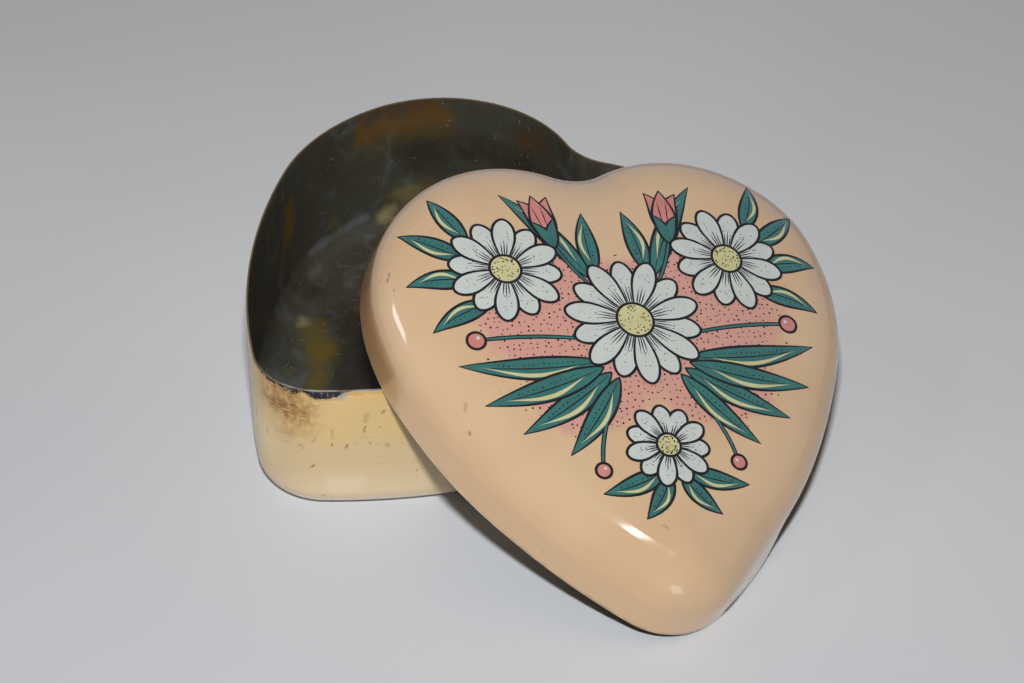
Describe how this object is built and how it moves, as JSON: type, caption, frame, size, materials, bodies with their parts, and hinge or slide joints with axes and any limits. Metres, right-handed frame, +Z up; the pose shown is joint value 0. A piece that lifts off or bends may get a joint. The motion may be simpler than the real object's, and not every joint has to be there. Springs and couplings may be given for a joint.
{
  "type": "heart-shaped trinket box",
  "caption": "Small heart-shaped tinplate trinket box, drawn base with rounded bottom corner and a loose domed slip-on lid, shown open with the lid leaning on the rim.",
  "frame": {"origin": "middle of the base's flat underside, half way along and across the heart", "axes": "+Z up from the table, +X across the base's two lobes, +Y from the base's tip to its cleft; the lid leans on the +X side"},
  "size_m": [0.1035, 0.0762, 0.0407],
  "materials": {
    "base_enamel": "yellowed cream enamel outside, worn to bare metal at the rim, dark tarnished tin inside",
    "lid_enamel": "glossy peach enamel with a printed flower spray on top, dark tarnished tin underneath"
  },
  "bodies": {
    "base": {"base_tin": "base_enamel"},
    "lid": {"lid_tin": "lid_enamel"}
  },
  "joints": [
    {"name": "lid_lift", "type": "slide", "parent": "base", "child": "lid", "axis": [0, 0, 1], "range_m": [0, 0.05]}
  ]
}
